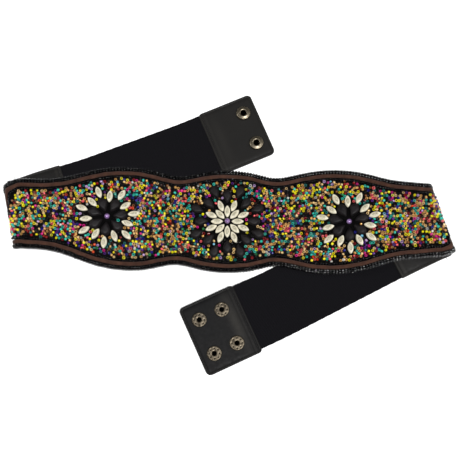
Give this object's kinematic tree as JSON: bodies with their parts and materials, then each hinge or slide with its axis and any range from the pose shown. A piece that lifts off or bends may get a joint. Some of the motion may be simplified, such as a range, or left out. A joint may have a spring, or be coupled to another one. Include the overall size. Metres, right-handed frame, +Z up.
{
  "type": "beaded belt",
  "caption": "Beaded waist belt lying with its straps folded under: bead-covered front with three stone flowers, brown lace edge, elastic and snap tabs.",
  "frame": {"origin": "centre of the outline on the ground, at the lowest plane of the belt as it lies", "axes": "+X along the beaded panel towards the end with the four snaps, +Y across the panel, +Z up out of the beaded face"},
  "size_m": [0.3918, 0.2498, 0.0169],
  "materials": {
    "backing": "matt",
    "seeds": "glossy mixed colours",
    "lace": "suede",
    "edge": "glossy",
    "leather": "fine grain",
    "elastic": "ribbed weave",
    "snap": "antique",
    "ivory": "marbled",
    "black": "satin",
    "pearl": "pearl"
  },
  "bodies": {
    "root": {"panel_backing": "backing", "seed_bead_field": "seeds", "brown_lace": "lace", "edge_beading": "edge", "connector_left": "leather", "connector_right": "leather", "elastic_left": "elastic", "elastic_right": "elastic", "end_tab_left": "leather", "end_tab_right": "leather", "socket_snap_1": "snap", "socket_snap_2": "snap", "stud_snap_1": "snap", "stud_snap_2": "snap", "stud_snap_3": "snap", "stud_snap_4": "snap", "navettes_left": "ivory", "drop_left_1": "black", "drop_left_2": "black", "drop_left_3": "black", "drop_left_4": "black", "drop_left_5": "black", "drop_left_6": "black", "drop_left_7": "black", "pearl_left": "pearl", "navettes_centre": "ivory", "drop_centre_1": "black", "drop_centre_2": "black", "drop_centre_3": "black", "drop_centre_4": "black", "drop_centre_5": "black", "drop_centre_6": "black", "drop_centre_7": "black", "drop_centre_8": "black", "drop_centre_9": "black", "drop_centre_10": "black", "drop_centre_11": "black", "drop_centre_12": "black", "drop_centre_13": "black", "drop_centre_14": "black", "drop_centre_15": "black", "drop_centre_16": "black", "pearl_centre": "pearl", "navettes_right": "ivory", "drop_right_1": "black", "drop_right_2": "black", "drop_right_3": "black", "drop_right_4": "black", "drop_right_5": "black", "drop_right_6": "black", "drop_right_7": "black", "pearl_right": "pearl"}
  },
  "joints": []
}
